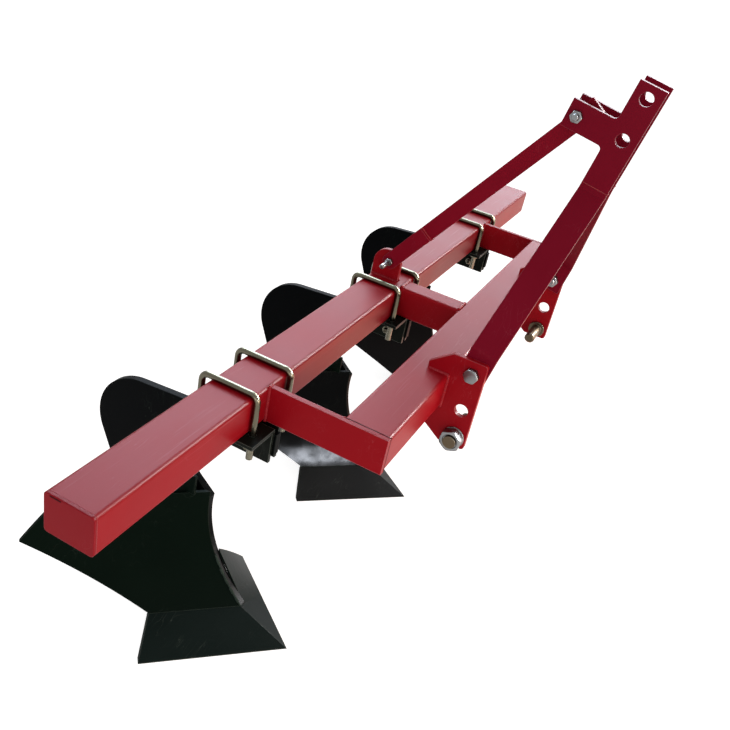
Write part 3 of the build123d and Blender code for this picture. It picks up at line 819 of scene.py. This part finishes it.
def dressLegBolts():
    spec = bolts["leg"]
    low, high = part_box("leg_bolts")
    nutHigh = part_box("leg_nuts")[1]
    y, z = (low.y + high.y) / 2, (low.z + high.z) / 2
    seat = high.x - spec["head"]
    inner = nutHigh.x - spec["nut"]
    bolt = makeBolt(spec, seat - inner + spec["end"])
    nut = makeHex(spec["flats"], spec["nut"])
    pair = [copyAt(bolt, (seat, y, z), toLeft), copyAt(bolt, (-seat, y, z), toRight)]
    nuts = [copyAt(nut, (inner, y, z), toLeft), copyAt(nut, (-inner, y, z), toRight)]
    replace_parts(settle(joinPieces(pair), "legBolts", "plated_steel", "zincSteel"), "leg_bolts")
    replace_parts(settle(joinPieces(nuts), "legNuts", "plated_steel", "zincSteel"), "leg_nuts")
    bpy.data.objects.remove(bolt)
    bpy.data.objects.remove(nut)


# one bolt or a pair, with their heads to the left and their nuts on the right
def dressRow(spec, boltNode, nutNode, name, paint):
    low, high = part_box(boltNode)
    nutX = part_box(nutNode)[0].x
    corner = spec["flats"] / math.sqrt(3)
    z = (low.z + high.z) / 2
    places = [low.y + corner, high.y - corner]
    if high.y - low.y < 3 * corner:  # no room for two
        places = [(low.y + high.y) / 2]
    seat = high.x - spec["head"]
    bolt = makeBolt(spec, seat - low.x)
    nut = makeHex(spec["flats"], spec["nut"])
    row = [copyAt(bolt, (seat, y, z), toLeft) for y in places]
    nuts = [copyAt(nut, (nutX, y, z), toLeft) for y in places]
    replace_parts(settle(joinPieces(row), name + "Bolts", "plated_steel", paint), boltNode)
    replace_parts(settle(joinPieces(nuts), name + "Nuts", "plated_steel", paint), nutNode)
    bpy.data.objects.remove(bolt)
    bpy.data.objects.remove(nut)


# nuts on the lower hitch pins, with a ring sunk round the pin's end
pinNut = {
    "flats": 0.046, "thick": 0.022, "chamfer": 0.1, "turn": 22,  # degrees, as it was tightened
    "rim": 0.0045, "recess": 0.004,
}


def dressPinNuts():
    low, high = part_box("pin_nuts")
    y, z = (low.y + high.y) / 2, (low.z + high.z) / 2
    recess = (pinNut["rim"], pinNut["recess"])
    nut = makeHex(pinNut["flats"], pinNut["thick"], True, recess, pinNut["chamfer"])
    nut.rotation_euler.z = math.radians(pinNut["turn"])
    bpy.ops.object.transform_apply(location=False, rotation=True, scale=False)
    seat = high.x - pinNut["thick"]
    pair = [copyAt(nut, (seat, y, z), toLeft), copyAt(nut, (-seat, y, z), toRight)]
    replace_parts(settle(joinPieces(pair), "pinNuts", "plated_steel", "zincSteel"), "pin_nuts")
    bpy.data.objects.remove(nut)


dressLegBolts()
dressPinNuts()
dressRow(bolts["arm"], "arm_bolt", "arm_nut", "arm", "zincSteel")
dressRow(bolts["stay"], "stay_pin", "stay_pin_nut", "stayPin", "zincSteel")
for side in sides:
    boltNode, nutNode = "clamp_bolts_" + side, "clamp_nuts_" + side
    dressRow(bolts["clamp"], boltNode, nutNode, "clamp" + side.capitalize(), "platedSteel")
print("bolts and nuts done")

# weld beads: a row of flat ripples along a straight seam
weld = {
    "width": 0.0075, "thin": 0.006, "step": 0.0021, "squash": 0.75,
    "sides": 12, "rings": 8,
    "rough": 0.0008, "roughSize": 0.006,
    "cornerGap": 0.006, "bracketGap": 0.052,  # lengths of seam left bare at their ends
}


def makeBead(length, width):  # lies along X from the origin
    bpy.ops.mesh.primitive_uv_sphere_add(
        segments=weld["sides"], ring_count=weld["rings"], radius=width / 2
    )
    bead = bpy.context.object
    bead.scale = (weld["squash"], 1, 1)
    bpy.ops.object.transform_apply(location=True, rotation=True, scale=True)
    count = max(2, int(length / weld["step"]))
    applyModifier(
        bead, "ARRAY", count=count, use_relative_offset=False, use_constant_offset=True,
        constant_offset_displace=(length / count, 0, 0),
    )
    return bead


def runBead(start, end, width=None):  # a bead from one point to the other
    start, end = Vector(start), Vector(end)
    bead = makeBead((end - start).length, width or weld["width"])
    bead.location = start
    bead.rotation_euler = (end - start).to_track_quat("X", "Z").to_euler()
    return bead


def finishBeads(beads, name, slot, paint=None):
    seam = joinPieces(beads)
    bpy.ops.object.transform_apply(location=True, rotation=True, scale=True)
    ripple = bpy.data.textures.new(name + "Ripple", "CLOUDS")
    ripple.noise_scale = weld["roughSize"]
    applyModifier(seam, "DISPLACE", texture=ripple, texture_coords="LOCAL", strength=weld["rough"])
    return settle(seam, name, slot, paint)


def addFrameWelds():
    beamLow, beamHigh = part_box("beam_tube")
    barLow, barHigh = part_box("front_bar")
    tubeLow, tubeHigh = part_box("middle_tube")
    top, under, gap = beamHigh.z, beamLow.z, weld["cornerGap"]
    beads = []
    for side in ("right", "left"):
        plateLow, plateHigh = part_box("end_plate_" + side)
        outer, inner = plateLow.x, plateHigh.x
        if side == "left":
            outer, inner = inner, outer
        for x in (outer, inner):
            beads.append(runBead((x, beamLow.y, under), (x, beamLow.y, top)))
        beads.append(runBead((outer, beamLow.y, top), (inner, beamLow.y, top), weld["thin"]))
        beads.append(runBead((inner, barHigh.y, under), (inner, barHigh.y, top)))
        bracketLow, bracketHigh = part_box("hitch_bracket_" + side)
        back = bracketHigh.y - weld["bracketGap"]
        for x in (bracketLow.x, bracketHigh.x):
            beads.append(runBead((x, barLow.y, under), (x, barLow.y, top)))
            beads.append(runBead((x, barLow.y, top), (x, back, top)))
    for x in (tubeLow.x, tubeHigh.x):
        for y in (tubeLow.y, tubeHigh.y):
            beads.append(runBead((x, y, under + gap), (x, y, top - gap)))
    for y in (tubeLow.y, tubeHigh.y):
        beads.append(runBead((tubeLow.x + gap, y, top), (tubeHigh.x - gap, y, top)))
    earLow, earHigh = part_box("stay_ear")
    for x in (earLow.x, earHigh.x):
        beads.append(runBead((x, earLow.y, top), (x, earHigh.y, top)))
    finishBeads(beads, "frameWelds", "frame_paint")


# seams where a mast leg meets its head, and where the stay runs into its cheeks
mastWeld = {"width": 0.003, "plate": 0.062, "stay": 0.0045, "reach": 0.0005}


def addMastWelds():
    beads = []
    for side in ("right", "left"):
        legLow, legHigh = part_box("mast_leg_" + side)
        low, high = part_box("mast_head_" + side)
        rise = legHigh.z - low.z
        run = math.sqrt(mastWeld["plate"] ** 2 - rise ** 2)
        for x in (low.x, high.x):
            start, end = (x, legLow.y, low.z), (x, legLow.y + run, legHigh.z)
            beads.append(runBead(start, end, mastWeld["width"]))
    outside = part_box("stay_cheeks")[0].x + mastWeld["reach"]
    face = [v.co for v in nodes["stay_cheeks"].data.vertices if v.co.x < outside]
    front = min(face, key=lambda spot: spot.y)
    top = max(face, key=lambda spot: spot.z)
    barLow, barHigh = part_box("stay_bar")
    for x in (barLow.x, barHigh.x):
        beads.append(runBead((x, front.y, front.z), (x, top.y, top.z), mastWeld["stay"]))
    finishBeads(beads, "mastWelds", "frame_paint")


# rough weld along a moldboard's edge by its shank, and a thin one over the share's joint
bladeWeld = {
    "start": 0.048, "end": 0.165, "widths": (0.004, 0.0062, 0.005, 0.007), "joint": 0.002,
    "edgeReach": 0.0006, "frontReach": 0.0001, "near": 0.005, "spacing": 0.002,
    "bottomReach": 0.001,
}


def frontEdge(spots, inside):  # points along the front of a moldboard's edge, bottom to top
    start, end, near = bladeWeld["start"], bladeWeld["end"], bladeWeld["near"]
    edge = [c for c in spots if c.x > inside and start < c.z < end]

    def hidden(c):  # another point at about this height lies in front
        front = c.y - bladeWeld["frontReach"]
        return any(other.y < front and abs(other.z - c.z) < near for other in edge)

    chain = []
    for spot in sorted((c for c in edge if not hidden(c)), key=lambda c: c.z):
        if not chain or (spot - chain[-1]).length > bladeWeld["spacing"]:
            chain.append(spot)
    return chain


def addBladeWelds(side):
    spots = [v.co for v in nodes["moldboard_" + side].data.vertices]
    low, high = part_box("moldboard_" + side)
    chain = frontEdge(spots, high.x - bladeWeld["edgeReach"])
    widths = bladeWeld["widths"]
    beads = []
    for step, (start, end) in enumerate(zip(chain, chain[1:])):
        beads.append(runBead(start, end, widths[step % len(widths)]))
    bottom = [c for c in spots if c.z < low.z + bladeWeld["bottomReach"]]
    outer = min(bottom, key=lambda c: c.x)
    inner = max(bottom, key=lambda c: c.x)
    along = (outer - inner).normalized()
    reach = (outer - inner).length + (inner - chain[0]).dot(along)
    beads.append(runBead(chain[0], chain[0] + along * reach, bladeWeld["joint"]))
    finishBeads(beads, "bladeWelds" + side.capitalize(), "body_paint", "spatterPaint")


# dark strips that paint the shadow in the joints between the end plates and the front bar, and in
# a gap over the beam's right cap: painted shade
seam = {
    "width": 0.0022, "proud": 0.0003, "deep": 0.001,
    "gap": (0.022, 0.003), "gapStart": 0.013, "gapDrop": 0.0022,
}


def addStrip(low, high):  # thin block between two corners
    low, high = Vector(low), Vector(high)
    bpy.ops.mesh.primitive_cube_add(size=1, location=(low + high) / 2)
    strip = bpy.context.object
    strip.scale = high - low
    return strip


def addSeamShadows():
    low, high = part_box("front_bar")
    half, proud, deep = seam["width"] / 2, seam["proud"], seam["deep"]
    strips = []
    for x in (low.x, high.x):
        top = high.z + proud
        strips.append(addStrip((x - half, low.y - proud, low.z), (x + half, low.y + deep, top)))
        strips.append(addStrip((x - half, low.y - proud, high.z - deep), (x + half, high.y, top)))
    # a dark strip that paints the shadow of a gap over the beam's right cap
    capLow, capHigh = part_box("beam_cap_right")
    length, height = seam["gap"]
    y, z = capHigh.y - seam["gapStart"], capHigh.z - seam["gapDrop"]
    strips.append(addStrip((capLow.x - proud, y - length, z - height), (capLow.x + deep, y, z)))
    settle(joinPieces(strips), "seams", "frame_paint", "seamShadowPaint")


addFrameWelds()
addMastWelds()
for side in sides:
    addBladeWelds(side)
addSeamShadows()
print("weld beads and seams done")
